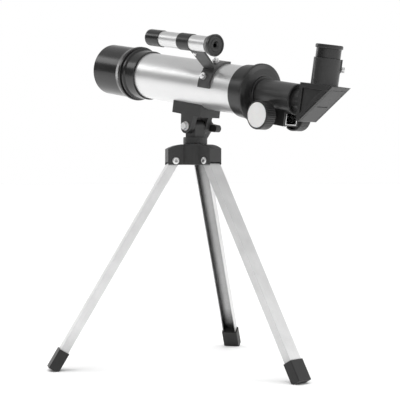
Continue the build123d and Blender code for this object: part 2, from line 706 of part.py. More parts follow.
with BuildPart() as finder_eye_lens:
    lens(FINDER, 5.35, front=70.4, rear=73.9, front_bow=0.6, rear_bow=0.6)
save(finder_eye_lens, "finder_eye_lens")

# The clamp ring's tongue lies along one flank of the bracket arm.
ARM = Plane(
    origin=tube_point(0), x_dir=along,
    z_dir=along.cross(around(FINDER_ANGLE).z_dir).normalized(),
)
ARM_HALF = 1.15
ARM_FOOT_HALF = 3.4
ARM_TOP = FINDER_OFFSET - RING_R - 0.5
TONGUE_LOW = 48.0
CLAMP_SCREW = (35.6, 50.8)
TONGUE = ARM.offset(-ARM_HALF - 1.55)
# The clamp screw's axis; its normal points from the tongue out through the arm.
CLAMP = Plane(origin=ARM.from_local_coords(Vector(*CLAMP_SCREW, 0)), x_dir=along, z_dir=ARM.z_dir)

with BuildPart() as finder_ring:
    slab(TONGUE, [
        (27.5, TONGUE_LOW), (39.5, TONGUE_LOW), (39.5, ARM_TOP + 3), (27.5, ARM_TOP + 3),
    ], 1.5)
    turn([
        (RING_FRONT, 0), (RING_FRONT, RING_R - 0.4), (RING_FRONT + 0.4, RING_R),
        (RING_REAR - 0.4, RING_R), (RING_REAR, RING_R - 0.4), (RING_REAR, 0),
    ], FINDER)
    ring(RING_FRONT - 1, RING_REAR + 1, 0, FINDER_R + SNUG_GAP, FINDER, mode=Mode.SUBTRACT)
    rod(CLAMP, SCREW_R, -6, 1, mode=Mode.SUBTRACT)
save(finder_ring, "finder_ring")

with BuildPart() as finder_bracket:
    saddle_r = TUBE_R + SNUG_GAP
    with BuildSketch(across(BRACKET_FRONT)) as arc:
        Circle(saddle_r + BRACKET_THICK)
        Circle(saddle_r, mode=Mode.SUBTRACT)
        with BuildLine():
            first = FINDER_ANGLE - BRACKET_SPAN
            last = FINDER_ANGLE + BRACKET_SPAN
            reach = 60
            Polyline(
                (0, 0), *[
                    (reach * cos(radians(a)), reach * sin(radians(a)))
                    for a in (first, FINDER_ANGLE, last)
                ], close=True,
            )
        make_face(mode=Mode.INTERSECT)
    extrude(arc.sketch, amount=BRACKET_REAR - BRACKET_FRONT)
    slab(ARM, [
        (BRACKET_FRONT, saddle_r + 1), (BRACKET_REAR, saddle_r + 1),
        (51.6, ARM_TOP), (29.4, ARM_TOP),
    ], ARM_HALF)
    slab(ARM, [
        (BRACKET_FRONT, saddle_r + 1), (BRACKET_REAR, saddle_r + 1),
        (BRACKET_REAR, saddle_r + BRACKET_THICK + 0.9),
        (BRACKET_FRONT, saddle_r + BRACKET_THICK + 0.9),
    ], ARM_FOOT_HALF)
    for stud_plane in STUD_PLANES:
        rod(stud_plane, STUD_R + 0.1, 20, 32, mode=Mode.SUBTRACT)
    rod(CLAMP, SCREW_R + 0.1, -2, 2, mode=Mode.SUBTRACT)
save(finder_bracket, "finder_bracket")

NUT_SEAT = TUBE_R + SNUG_GAP + BRACKET_THICK
NUT_R = 3.7

with BuildPart() as bracket_studs:
    for stud_plane in STUD_PLANES:
        rod(stud_plane, STUD_R, 25, NUT_SEAT + 5.4)
        rod(stud_plane, 2.8, 24.2, TUBE_R - TUBE_WALL - 0.2)
save(bracket_studs, "bracket_studs")

with BuildPart() as bracket_nuts:
    for stud_plane in STUD_PLANES:
        with BuildSketch(stud_plane.offset(NUT_SEAT)) as nut:
            Circle(NUT_R)
            with PolarLocations(NUT_R + 0.15, 14):
                Circle(0.34, mode=Mode.SUBTRACT)
            Circle(STUD_R + 0.02, mode=Mode.SUBTRACT)
        extrude(nut.sketch, amount=3.4)
save(bracket_nuts, "bracket_nuts")

with BuildPart() as finder_clamp_screw:
    with BuildSketch(CLAMP.offset(ARM_HALF)) as head:
        Circle(2.4)
    extrude(head.sketch, amount=1.4, taper=15)
    rod(CLAMP, SCREW_R - 0.02, -4, ARM_HALF + 0.1)
    with BuildSketch(CLAMP.offset(ARM_HALF + 1.4)) as slot:
        Rectangle(0.6, 6)
    extrude(slot.sketch, amount=-0.6, mode=Mode.SUBTRACT)
save(finder_clamp_screw, "finder_clamp_screw")

# ---------------------------------------------------------------- cradle and tilt head
CRADLE_HEAD_R = 3.0

with BuildPart() as tube_cradle:
    slab(OPTICAL, [
        (CRADLE_FRONT, CRADLE_LOW), (CRADLE_REAR, CRADLE_LOW),
        (CRADLE_REAR, -18), (CRADLE_FRONT, -18),
    ], CRADLE_HALF)
    slab(OPTICAL, [
        (TILT_STATION - 10.2, CRADLE_LOW + 1), (TILT_STATION + 11.5, CRADLE_LOW + 1),
        (TILT_STATION + CHEEK_R, TILT_UP), (TILT_STATION - CHEEK_R, TILT_UP),
    ], CRADLE_HALF)
    ring(-CRADLE_HALF, CRADLE_HALF, 0, CHEEK_R, TILT)
    slab(OPTICAL, [
        (CRADLE_FRONT - 1, CRADLE_LOW), (CRADLE_REAR + 1, CRADLE_LOW),
        (CRADLE_REAR + 1, TILT_UP - 20), (CRADLE_FRONT - 1, TILT_UP - 20),
    ], POST_HALF + 0.35, mode=Mode.SUBTRACT)
    ring(CRADLE_FRONT - 1, CRADLE_REAR + 1, 0, TUBE_R + SNUG_GAP, mode=Mode.SUBTRACT)
    ring(-CRADLE_HALF - 1, CRADLE_HALF + 1, 0, TILT_BOLT_R + SNUG_GAP, TILT, mode=Mode.SUBTRACT)
    for station in CRADLE_SCREWS:
        rod(under_cradle(station), CRADLE_SCREW_R + HOLE_GAP, -1, 12, mode=Mode.SUBTRACT)
        rod(under_cradle(station), CRADLE_HEAD_R + 0.2, -1, 3, mode=Mode.SUBTRACT)
save(tube_cradle, "tube_cradle")

with BuildPart() as cradle_screws:
    for station in CRADLE_SCREWS:
        rod(under_cradle(station), CRADLE_HEAD_R, 1.0, 2.98)
        rod(under_cradle(station), CRADLE_SCREW_R, 2, 11.4)
        with BuildSketch(under_cradle(station).offset(1.0)) as cross:
            Rectangle(3.4, 0.7)
            Rectangle(0.7, 3.4)
        extrude(cross.sketch, amount=1.0, mode=Mode.SUBTRACT)
save(cradle_screws, "cradle_screws")

with BuildPart() as cradle_nuts:
    for station in CRADLE_SCREWS:
        with BuildSketch(under_cradle(station).offset(10.8)) as nut:
            RegularPolygon(2.9, 6)
            Circle(1.52, mode=Mode.SUBTRACT)
        extrude(nut.sketch, amount=2.2)
save(cradle_nuts, "cradle_nuts")

HEAD_FACE = CRADLE_HALF + 0.8

with BuildPart() as tilt_washers:
    ring(-HEAD_FACE, -CRADLE_HALF, TILT_BOLT_R + 0.1, 5.2, TILT)
    ring(CRADLE_HALF, HEAD_FACE, TILT_BOLT_R + 0.1, 5.2, TILT)
save(tilt_washers, "tilt_washers")

with BuildPart() as tilt_bolt:
    ring(-HEAD_FACE, CRADLE_HALF + 9, 0, TILT_BOLT_R, TILT)
    with BuildSketch(Plane(origin=(0, -HEAD_FACE, TILT_HEIGHT), z_dir=(0, -1, 0))) as head:
        RegularPolygon(4.3, 6)
    extrude(head.sketch, amount=3.2)
save(tilt_bolt, "tilt_bolt")

LOBE_COUNT = 3
LOBE_REACH = 13.5
LOBE_TIP_R = 4.2
LOBE_START = 10            # angle of the first lobe

with BuildPart() as tilt_knob:
    knob_face = Plane(origin=(0, HEAD_FACE + 1.2, TILT_HEIGHT), x_dir=(1, 0, 0), z_dir=(0, 1, 0))
    with BuildSketch(knob_face) as star:
        Circle(6.0)
        for count in range(LOBE_COUNT):
            with Locations(Rotation(0, 0, LOBE_START + count * 360 / LOBE_COUNT)):
                with Locations((LOBE_REACH / 2, 0)):
                    Rectangle(LOBE_REACH, 2 * LOBE_TIP_R)
                with Locations((LOBE_REACH, 0)):
                    Circle(LOBE_TIP_R)
    extrude(star.sketch, amount=7.5)
    ring(HEAD_FACE + 0.02, HEAD_FACE + 1.3, 0, 5.0, TILT)
    ring(HEAD_FACE, CRADLE_HALF + 9.05, 0, TILT_BOLT_R + 0.02, TILT, mode=Mode.SUBTRACT)
save(tilt_knob, "tilt_knob")

# ---------------------------------------------------------------- pan post
SPIGOT_R = 6.0
SPIGOT_LOW = 239.9
WASHER_THICK = 0.6
PAN_BOLT_R = 2.5

with BuildPart() as pan_post:
    with BuildSketch(Plane.XY.offset(HUB_TOP + WASHER_THICK)) as collar:
        Circle(COLLAR_R)
    extrude(collar.sketch, amount=COLLAR_TOP - HUB_TOP - WASHER_THICK)
    chamfer(pan_post.faces().sort_by(Axis.Z)[-1].edges(), 0.6)
    with BuildSketch(Plane.XY.offset(COLLAR_TOP - 1)) as column:
        RectangleRounded(2 * POST_HALF, 2 * POST_HALF, 0.8)
    extrude(column.sketch, amount=TILT_HEIGHT - COLLAR_TOP + 1)
    ring(-POST_HALF, POST_HALF, 0, POST_HALF, TILT)
    with BuildSketch(Plane.XY.offset(SPIGOT_LOW)) as spigot:
        Circle(SPIGOT_R)
    extrude(spigot.sketch, amount=HUB_TOP + 1 - SPIGOT_LOW)
    ring(-POST_HALF - 1, POST_HALF + 1, 0, TILT_BOLT_R + RUN_GAP, TILT, mode=Mode.SUBTRACT)
    with BuildSketch(Plane.XY.offset(SPIGOT_LOW - 1)) as thread:
        Circle(PAN_BOLT_R + 0.02)
    extrude(thread.sketch, amount=18, mode=Mode.SUBTRACT)
save(pan_post, "pan_post")

with BuildPart() as pan_washer:
    with BuildSketch(Plane.XY.offset(HUB_TOP)) as disc:
        Circle(12.2)
        Circle(SPIGOT_R + 0.1, mode=Mode.SUBTRACT)
    extrude(disc.sketch, amount=WASHER_THICK)
save(pan_washer, "pan_washer")

with BuildPart() as retaining_washer:
    with BuildSketch(Plane.XY.offset(SPIGOT_LOW - 1.2)) as disc:
        Circle(7.6)
        Circle(PAN_BOLT_R + 0.1, mode=Mode.SUBTRACT)
    extrude(disc.sketch, amount=1.2)
save(retaining_washer, "retaining_washer")

with BuildPart() as pan_bolt:
    with BuildSketch(Plane.XY.offset(SPIGOT_LOW - 1.2)) as head:
        RegularPolygon(4.6, 6)
    extrude(head.sketch, amount=-3.2)
    with BuildSketch(Plane.XY.offset(SPIGOT_LOW - 1.3)) as shank:
        Circle(PAN_BOLT_R)
    extrude(shank.sketch, amount=16)
save(pan_bolt, "pan_bolt")


# ---------------------------------------------------------------- hub
def radial(azimuth):
    """Upright plane through the pan axis: X points out at an azimuth, Y is up."""
    out = Vector(cos(radians(azimuth)), sin(radians(azimuth)), 0)
    return Plane(origin=(0, 0, 0), x_dir=out, z_dir=out.cross(Vector(0, 0, 1)))


def distance_out(edge):
    """How far the middle of an edge is from the pan axis."""
    middle = edge.center()
    return sqrt(middle.X ** 2 + middle.Y ** 2)


LOBE_END_TOP = 248.8
SLOT_INNER = 15.0
SLOT_ROOF = 246.5
END_WALL = 1.4
NOTCH_TOP = 233.6
slot_half = LOBE_HALF - LOBE_WALL

with BuildPart() as tripod_hub:
    with BuildSketch(Plane.XY.offset(HUB_LOW)) as core:
        Circle(HUB_R)
    extrude(core.sketch, amount=HUB_TOP - HUB_LOW)
    for azimuth in LEG_AZIMUTHS:
        slab(radial(azimuth), [
            (0, HUB_LOW), (LOBE_R, HUB_LOW), (LOBE_R, LOBE_END_TOP), (29, 251.2),
            (24, 253.0), (HUB_R, HUB_TOP), (0, HUB_TOP),
        ], LOBE_HALF)
    upright_edges = tripod_hub.edges().filter_by(Axis.Z)
    fillet(upright_edges.filter_by(lambda edge: distance_out(edge) > LOBE_R - 1), 1.5)
    for azimuth in LEG_AZIMUTHS:
        slab(radial(azimuth), [
            (SLOT_INNER, HUB_LOW - 1), (LOBE_R - END_WALL, HUB_LOW - 1),
            (LOBE_R - END_WALL, SLOT_ROOF), (SLOT_INNER, SLOT_ROOF),
        ], slot_half, mode=Mode.SUBTRACT)
        slab(radial(azimuth), [
            (SLOT_INNER, HUB_LOW - 1), (LOBE_R + 1, HUB_LOW - 1),
            (LOBE_R + 1, NOTCH_TOP), (SLOT_INNER, NOTCH_TOP),
        ], slot_half, mode=Mode.SUBTRACT)
        pivot = Plane(
            origin=radial(azimuth).from_local_coords(Vector(PIVOT_R, PIVOT_HEIGHT, 0)),
            z_dir=radial(azimuth).z_dir,
        )
        rod(pivot, RIVET_R + SNUG_GAP, -LOBE_HALF - 1, LOBE_HALF + 1, mode=Mode.SUBTRACT)
    with BuildSketch(Plane.XY.offset(HUB_LOW)) as bore:
        Circle(8.2)
    extrude(bore.sketch, amount=SPIGOT_LOW + 0.3 - HUB_LOW, mode=Mode.SUBTRACT)
    with BuildSketch(Plane.XY.offset(HUB_LOW)) as bore:
        Circle(SPIGOT_R + RUN_GAP)
    extrude(bore.sketch, amount=HUB_TOP - HUB_LOW, mode=Mode.SUBTRACT)
save(tripod_hub, "tripod_hub")

# ---------------------------------------------------------------- legs
foot_half_depth = LEG_DEPTH / 2 + FOOT_WALL
foot_half_width = LEG_WIDTH / 2 + FOOT_WALL
leg_drop = PIVOT_HEIGHT + FOOT_CUT - sin(radians(SPLAY)) * foot_half_depth
LEG_LENGTH = leg_drop / cos(radians(SPLAY))


def leg_plane(azimuth):
    """Plane square to a leg at its rivet: Z runs down the leg, Y faces out."""
    out = radial(azimuth).x_dir
    down = out * sin(radians(SPLAY)) - Vector(0, 0, cos(radians(SPLAY)))
    face = out * cos(radians(SPLAY)) + Vector(0, 0, sin(radians(SPLAY)))
    origin = radial(azimuth).from_local_coords(Vector(PIVOT_R, PIVOT_HEIGHT, 0))
    return Plane(origin=origin, x_dir=face.cross(down), z_dir=down)


def channel_outline(grow=0.0):
    """Section of a leg: a channel that opens towards the pan axis."""
    half = LEG_WIDTH / 2 + grow
    deep = LEG_DEPTH / 2 + grow
    inner = LEG_WIDTH / 2 - LEG_WALL - grow
    web = LEG_DEPTH / 2 - LEG_WALL - grow
    return [
        (-half, -deep), (-half, deep), (half, deep), (half, -deep),
        (inner, -deep), (inner, web), (-inner, web), (-inner, -deep),
    ]


def leg(azimuth):
    """One leg channel, drilled for its rivet and rounded at the top."""
    top = leg_plane(azimuth)
    with BuildSketch(top.offset(-LEG_HEAD)) as section:
        with BuildLine():
            Polyline(*channel_outline(), close=True)
        make_face()
    extrude(section.sketch, amount=LEG_HEAD + LEG_LENGTH - 2)
    rivet = Plane(origin=top.origin, z_dir=top.x_dir)
    rod(rivet, RIVET_R + RUN_GAP, -LEG_WIDTH, LEG_WIDTH, mode=Mode.SUBTRACT)


def foot(azimuth):
    """Rubber cap on the end of a leg, with its low corner worn flat by the floor."""
    top = leg_plane(azimuth).offset(LEG_LENGTH - FOOT_LENGTH)
    with BuildSketch(top) as section:
        RectangleRounded(2 * foot_half_width, 2 * foot_half_depth, 1.2)
    extrude(section.sketch, amount=FOOT_LENGTH)
    with BuildSketch(top) as socket:
        with BuildLine():
            Polyline(*channel_outline(SNUG_GAP), close=True)
        make_face()
    extrude(socket.sketch, amount=FOOT_LENGTH - 1.95, mode=Mode.SUBTRACT)
    split(bisect_by=Plane.XY, keep=Keep.TOP)


def rivet(azimuth):
    """Hollow rivet through a lobe and the leg inside it."""
    axis = leg_plane(azimuth)
    plane = Plane(origin=axis.origin, x_dir=axis.x_dir, z_dir=axis.y_dir)
    half = LOBE_HALF + 1.0
    turn([
        (-half, 1.7), (-half - 0.1, 2.6), (-half + 0.3, 3.7), (-LOBE_HALF - 0.02, 4.1),
        (-LOBE_HALF - 0.02, RIVET_R), (LOBE_HALF + 0.02, RIVET_R), (LOBE_HALF + 0.02, 4.1),
        (half - 0.3, 3.7), (half + 0.1, 2.6), (half, 1.7),
    ], plane)


for number, azimuth in enumerate(LEG_AZIMUTHS, start=1):
    with BuildPart() as tripod_leg:
        leg(azimuth)
    save(tripod_leg, f"leg_{number}")
    with BuildPart() as leg_foot:
        foot(azimuth)
    save(leg_foot, f"foot_{number}")
    with BuildPart() as leg_rivet:
        rivet(azimuth)
    save(leg_rivet, f"leg_rivet_{number}")

print("leg length", round(LEG_LENGTH, 2), "tilt axis station", round(TILT_STATION, 2), round(TILT_UP, 2))
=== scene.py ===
from math import cos, radians, sin

import bpy
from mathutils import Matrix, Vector

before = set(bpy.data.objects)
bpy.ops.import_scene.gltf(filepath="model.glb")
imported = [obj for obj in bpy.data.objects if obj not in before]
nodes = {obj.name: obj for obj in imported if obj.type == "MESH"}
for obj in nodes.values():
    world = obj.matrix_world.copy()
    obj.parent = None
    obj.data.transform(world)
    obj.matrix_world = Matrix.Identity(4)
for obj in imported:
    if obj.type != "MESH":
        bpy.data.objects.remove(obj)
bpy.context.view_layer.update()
scene = bpy.context.scene

# ------------------------------------------------------------------ camera
CAMERA_AZIMUTH = 47.13     # degrees round from -Y towards +X
CAMERA_DISTANCE = 1.3045   # metres from the pan axis
CAMERA_HEIGHT = 0.2144
CAMERA_DOWN = 1.05         # degrees below level
CAMERA_RIGHT = 0.24        # degrees to the right of the pan axis
CAMERA_LENS = 102.13       # mm
SENSOR_WIDTH = 36          # mm

camera_data = bpy.data.cameras.new("camera")
camera_data.lens = CAMERA_LENS
camera_data.sensor_width = SENSOR_WIDTH
camera_data.clip_start = 0.05
camera_data.clip_end = 100
camera = bpy.data.objects.new("camera", camera_data)
azimuth = radians(CAMERA_AZIMUTH)
camera.location = (CAMERA_DISTANCE * sin(azimuth), -CAMERA_DISTANCE * cos(azimuth), CAMERA_HEIGHT)
camera.rotation_euler = (radians(90 - CAMERA_DOWN), 0, radians(CAMERA_AZIMUTH - CAMERA_RIGHT))
scene.collection.objects.link(camera)
scene.camera = camera

# ------------------------------------------------------------------ directions
TUBE_TILT = radians(9.8)   # the front of the tube is up
ALONG = Vector((cos(TUBE_TILT), 0, -sin(TUBE_TILT)))
UPRIGHT = Vector((sin(TUBE_TILT), 0, cos(TUBE_TILT)))
SPLAY = radians(30.7)      # each leg from plumb
LEG_AZIMUTHS = (0, 120, 240)


def leg_axes(degrees):
    """Unit vectors down a leg and out of its broad face."""
    out = Vector((cos(radians(degrees)), sin(radians(degrees)), 0))
    down = out * sin(SPLAY) - Vector((0, 0, cos(SPLAY)))
    face = out * cos(SPLAY) + Vector((0, 0, sin(SPLAY)))
    return down, face


# ------------------------------------------------------------------ node materials
BEVEL_START = 0.01         # how far a rounded normal leans before an edge counts as one


class Finish:
    """A procedural material under construction, with short names for the nodes it uses."""

    def __init__(self, name, **sockets):
        self.material = bpy.data.materials.new(name)
        self.material.use_nodes = True
        self.tree = self.material.node_tree
        self.shader = next(n for n in self.tree.nodes if n.type == "BSDF_PRINCIPLED")
        self.normal = None
        for socket, value in sockets.items():
            self.set(socket.replace("_", " "), value)

    def set(self, socket, value):
        self.feed(self.shader.inputs[socket], value)

    def feed(self, socket, value):
        if isinstance(value, bpy.types.NodeSocket):
            self.tree.links.new(value, socket)
        else:
            socket.default_value = value

    def add(self, kind, values=(), **settings):
        made = self.tree.nodes.new(kind)
        for name, value in settings.items():
            setattr(made, name, value)
        for index, value in dict(values).items():
            self.feed(made.inputs[index], value)
        return made

    def place(self, axis=None, face=None, stretch=(1, 1, 1)):
        """Object coordinates, or coordinates along two directions of the part, scaled."""
        coords = self.add("ShaderNodeTexCoord").outputs["Object"]
        if axis is not None:
            side = axis.cross(face)
            parts = [
                self.add("ShaderNodeVectorMath", {0: coords, 1: direction}, operation="DOT_PRODUCT")
                .outputs["Value"]
                for direction in (axis, face, side)
            ]
            coords = self.add("ShaderNodeCombineXYZ", dict(enumerate(parts))).outputs[0]
        if stretch != (1, 1, 1):
            coords = self.add(
                "ShaderNodeVectorMath", {0: coords, 1: stretch}, operation="MULTIPLY"
            ).outputs["Vector"]
        return coords

    def noise(self, coords, scale, detail=3.0, rough=0.55, distort=0.0):
        made = self.add("ShaderNodeTexNoise", {
            "Vector": coords, "Scale": scale, "Detail": detail, "Roughness": rough,
            "Distortion": distort,
        })
        return made.outputs[0]

    def cells(self, coords, scale):
        """A random colour for each small cell."""
        made = self.add("ShaderNodeTexVoronoi", {"Vector": coords, "Scale": scale}, feature="F1")
        return made.outputs["Color"]

    def spread(self, value, low, high, to_low=0.0, to_high=1.0):
        made = self.add("ShaderNodeMapRange", {
            "Value": value, "From Min": low, "From Max": high, "To Min": to_low, "To Max": to_high,
        })
        return made.outputs["Result"]

    def math(self, operation, *values):
        return self.add("ShaderNodeMath", dict(enumerate(values)), operation=operation).outputs[0]

    def blend(self, amount, first, second):
        made = self.add("ShaderNodeMix", {0: amount, 6: first, 7: second}, data_type="RGBA")
        return made.outputs[2]

    def edges(self, radius, sharpness=0.12):
        """0 on flat areas and 1 along outside and inside corners."""
        softened = self.add("ShaderNodeBevel", {"Radius": radius}, samples=4).outputs[0]
        true_normal = self.add("ShaderNodeNewGeometry").outputs["Normal"]
        facing = self.add(
            "ShaderNodeVectorMath", {0: softened, 1: true_normal}, operation="DOT_PRODUCT"
        ).outputs["Value"]
        self.normal = softened
        return self.spread(facing, 1.0 - BEVEL_START, 1.0 - sharpness)

    def bump(self, height, depth):
        """Adds relief of a depth in metres on top of what is there."""
        values = {"Height": height, "Distance": depth, "Strength": 1.0}
        if self.normal is not None:
            values["Normal"] = self.normal
        self.normal = self.add("ShaderNodeBump", values).outputs[0]

    def done(self):
        if self.normal is not None:
            self.set("Normal", self.normal)
        return self.material


def rgb(value, warm=0.0):
    """A nearly neutral linear colour."""
    return (value * (1 + warm), value, value * (1 - warm), 1.0)


def dress(material, *names):
    """Gives CAD nodes a material through their own slots."""
    for name in names:
        piece = nodes[name]
        if not piece.data.materials:
            piece.data.materials.append(material)
        for place in piece.material_slots:
            place.link = "OBJECT"
            place.material = material


def plastic(name, tone, shine, grain=2600, depth=0.00002, mottle=0.18, edge_wear_and_highlight=0.35, edge=0.0004):
    """Moulded plastic: fine cavity texture, flow mottling and corners lightened, partly as slight
    burnished wear and partly as a painted edge highlight.
    """
    made = Finish(name, IOR=1.5)
    coords = made.place()
    rim = made.edges(edge)
    flow = made.noise(coords, 38, 3, 0.5, 0.6)
    fine = made.noise(coords, grain, 2, 0.6)
    rubs = made.noise(made.place(stretch=(1, 1, 9)), 190, 4, 0.6, 0.3)
    base = made.blend(made.spread(flow, 0.3, 0.7), rgb(tone * (1 - mottle)), rgb(tone * (1 + mottle)))
    base = made.blend(made.spread(fine, 0.35, 0.7, 0, 0.35), base, rgb(tone * 1.5))
    # Lightens corners: partly burnished wear, partly a painted edge highlight (strongest on the
    # diagonal).
    base = made.blend(made.math("MULTIPLY", rim, edge_wear_and_highlight), base, rgb(tone * 2.4 + 0.02))
    made.set("Base Color", base)
    rough = made.spread(flow, 0.25, 0.75, shine - 0.04, shine + 0.05)
    rough = made.math("ADD", rough, made.spread(rubs, 0.55, 0.75, 0, 0.07))
    rough = made.math("SUBTRACT", rough, made.math("MULTIPLY", rim, 0.08))
    made.set("Roughness", rough)
    made.bump(fine, depth)
    made.bump(made.noise(coords, 120, 2), depth * 1.5)
    return made.done()


def metal(name, tone, shine, axis=None, face=None, warm=0.0, drawn=(0.02, 1, 1), grain=1800,
          depth=0.000006, edge=0.0003, stain=0.12, hollow_shade_tone=None):
    """Bare or anodised metal with grain along one direction and faint handling marks, and painted
    shade in its hollows when a hollow shade tone is given.
    """
    made = Finish(name, Metallic=1.0)
    rim = made.edges(edge)
    lines = made.noise(made.place(axis, face, drawn), grain, 3, 0.7)
    clouds = made.noise(made.place(), 45, 4, 0.55, 0.4)
    marks = made.noise(made.place(stretch=(1, 6, 1)), 230, 5, 0.65, 0.5)
    base = made.blend(made.spread(clouds, 0.3, 0.7), rgb(tone * (1 - stain), warm), rgb(tone, warm))
    base = made.blend(made.spread(lines, 0.3, 0.75, 0, 0.35), base, rgb(tone * 0.82, warm))
    base = made.blend(made.math("MULTIPLY", rim, 0.5), base, rgb(min(1.0, tone * 1.15 + 0.05), warm))
    if hollow_shade_tone is not None:
        # Painted shade: the base colour goes dark where ambient occlusion finds the hollows, such as
        # inside each leg's channel.
        open_sky = made.add("ShaderNodeAmbientOcclusion", {"Distance": 0.05}, samples=8).outputs["AO"]
        base = made.blend(made.spread(open_sky, 0.3, 0.9), rgb(hollow_shade_tone, warm), base)
    made.set("Base Color", base)
    rough = made.spread(lines, 0.25, 0.75, shine - 0.06, shine + 0.07)
    rough = made.math("ADD", rough, made.spread(marks, 0.55, 0.8, 0, 0.1))
    made.set("Roughness", rough)
    made.bump(lines, depth)
    return made.done()


def silver_paint(name, tone=0.70, shine=0.34):
    """Metallic paint: fine flakes under a thin satin lacquer with orange peel."""
    made = Finish(name, Metallic=0.82, Coat_Weight=0.22, Coat_Roughness=0.24, Coat_IOR=1.5)
    coords = made.place()
    flake_tone = made.cells(coords, 3600)
    flecks = made.add("ShaderNodeSeparateColor", {0: flake_tone}).outputs[0]
    clouds = made.noise(coords, 22, 3, 0.5, 0.5)
    dust = made.noise(coords, 900, 2, 0.7)
    base = made.blend(flecks, rgb(tone * 0.93), rgb(tone * 1.06))
    base = made.blend(made.spread(clouds, 0.3, 0.7, 0, 0.25), base, rgb(tone * 0.9))
    base = made.blend(made.spread(dust, 0.66, 0.74, 0, 0.3), base, rgb(tone * 0.75))
    made.set("Base Color", base)
    made.set("Roughness", made.math("ADD", made.spread(flecks, 0, 1, shine - 0.05, shine + 0.06),
                                    made.spread(clouds, 0.3, 0.7, -0.02, 0.03)))
    made.bump(flecks, 0.0000022)
    made.bump(made.noise(coords, 420, 2), 0.000012)
    return made.done()


def steel_paint(name, tone=0.045, shine=0.36):
    """Stoved paint on pressed steel, thin on its corners."""
    made = Finish(name, IOR=1.5)
    coords = made.place()
    rim = made.edges(0.00035)
    peel = made.noise(coords, 700, 2, 0.5)
    chips = made.noise(coords, 900, 4, 0.7, 0.8)
    bare = made.math("MULTIPLY", rim, made.spread(chips, 0.52, 0.62))
    clouds = made.noise(coords, 60, 3)
    base = made.blend(made.spread(clouds, 0.3, 0.7), rgb(tone * 0.8), rgb(tone * 1.25))
    made.set("Base Color", made.blend(made.math("MULTIPLY", bare, 0.7), base, rgb(0.38)))
    made.set("Metallic", made.math("MULTIPLY", bare, 0.7))
    made.set("Roughness", made.spread(clouds, 0.3, 0.7, shine - 0.05, shine + 0.06))
    made.bump(peel, 0.00002)
    return made.done()


def rubber(name, tone=0.011, shine=0.62):
    """Moulded rubber with a fine open grain, scuffed pale where it rubs."""
    made = Finish(name, IOR=1.5, Sheen_Weight=0.12, Sheen_Roughness=0.5)
    coords = made.place()
    rim = made.edges(0.0007, 0.2)
    grain = made.noise(coords, 1600, 4, 0.7)
    scuff = made.noise(made.place(stretch=(1, 1, 4)), 240, 4, 0.65, 0.4)
    height = made.add("ShaderNodeSeparateXYZ", {0: coords}).outputs["Z"]
    low = made.spread(height, 0.0, 0.009, 1.0, 0.0)
    exposed = made.math("ADD", made.math("MULTIPLY", rim, 0.5), low)
    rubbed = made.math("MULTIPLY", made.spread(scuff, 0.45, 0.7), exposed)
    base = made.blend(made.spread(grain, 0.3, 0.7), rgb(tone * 0.75), rgb(tone * 1.3))
    made.set("Base Color", made.blend(made.math("MULTIPLY", rubbed, 0.5), base, rgb(0.05)))
    made.set("Roughness", made.spread(grain, 0.3, 0.7, shine - 0.06, shine + 0.1))
    made.bump(grain, 0.00004)
    return made.done()


def matt_black(name, tone=0.010):
    """Anti-reflection paint inside the tube."""
    made = Finish(name, Specular_IOR_Level=0.2)
    coords = made.place()
    grit = made.noise(coords, 2200, 4, 0.75)
    made.set("Base Color", made.blend(grit, rgb(tone * 0.6), rgb(tone * 1.8)))
    made.set("Roughness", made.spread(grit, 0.3, 0.7, 0.75, 0.95))
    made.bump(grit, 0.00004)
    return made.done()


def glass(name, tint=(0.93, 0.97, 0.95, 1.0), coating=(0.62, 0.55, 0.95, 1.0)):
    """Optical glass with a bloomed face and a trace of dust."""
    made = Finish(name, Base_Color=tint, Transmission_Weight=1.0, IOR=1.52,
                  Specular_Tint=coating, Coat_Weight=0.25, Coat_Roughness=0.02, Coat_Tint=coating)
    dust = made.noise(made.place(), 700, 4, 0.75, 0.5)
    made.set("Roughness", made.spread(dust, 0.62, 0.8, 0.01, 0.1))
    made.bump(made.noise(made.place(), 90, 1), 0.0000004)
    return made.done()


def white_plastic(name, tone=0.72):
    """White moulded plastic, a little uneven and greyed round its edge."""
    made = Finish(name, IOR=1.5, Subsurface_Weight=0.05, Subsurface_Scale=0.001)
    coords = made.place()
    rim = made.edges(0.0005)
    clouds = made.noise(coords, 130, 3, 0.5, 0.4)
    specks = made.noise(coords, 1500, 3, 0.7)
    base = made.blend(made.spread(clouds, 0.3, 0.7), rgb(tone * 0.96, 0.004), rgb(tone, 0.004))
    base = made.blend(made.spread(specks, 0.66, 0.76, 0, 0.3), base, rgb(tone * 0.7))
    made.set("Base Color", made.blend(made.math("MULTIPLY", rim, 0.3), base, rgb(tone * 0.8)))
    made.set("Roughness", made.spread(clouds, 0.3, 0.7, 0.30, 0.42))
    made.bump(specks, 0.000008)
    return made.done()


silver = silver_paint("silver_paint")
dress(silver, "main_tube", "finder_tube")

gloss = plastic("gloss_plastic", 0.010, 0.20, grain=1500, depth=0.000005)
dress(gloss, "dew_shield", "objective_cell", "finder_front_cell", "eyepiece_barrel")

satin = plastic("satin_plastic", 0.032, 0.30, grain=1500, depth=0.000005)
dress(satin, "drawtube")

# The diagonal's strong corner lightening paints the bright highlights along its edges, on top of wear.
edged = plastic("diagonal_plastic", 0.016, 0.30, grain=2400, depth=0.00001, edge_wear_and_highlight=0.9, edge=0.0006)
dress(edged, "diagonal_body", "diagonal_cover", "diagonal_side_panels")

black = plastic("black_plastic", 0.012, 0.32, grain=2400, depth=0.000012)
dress(black, "focuser_housing", "drawtube_socket", "finder_ring", "finder_eyecup", "eyepiece_cap",
      "left_focus_knob", "right_focus_knob")

head = plastic("head_plastic", 0.020, 0.46, grain=2600, depth=0.00003, edge_wear_and_highlight=0.7)
dress(head, "tube_cradle", "pan_post", "tilt_knob", "tripod_hub")

dress(white_plastic("cap_white"), "left_knob_cap", "right_knob_cap")

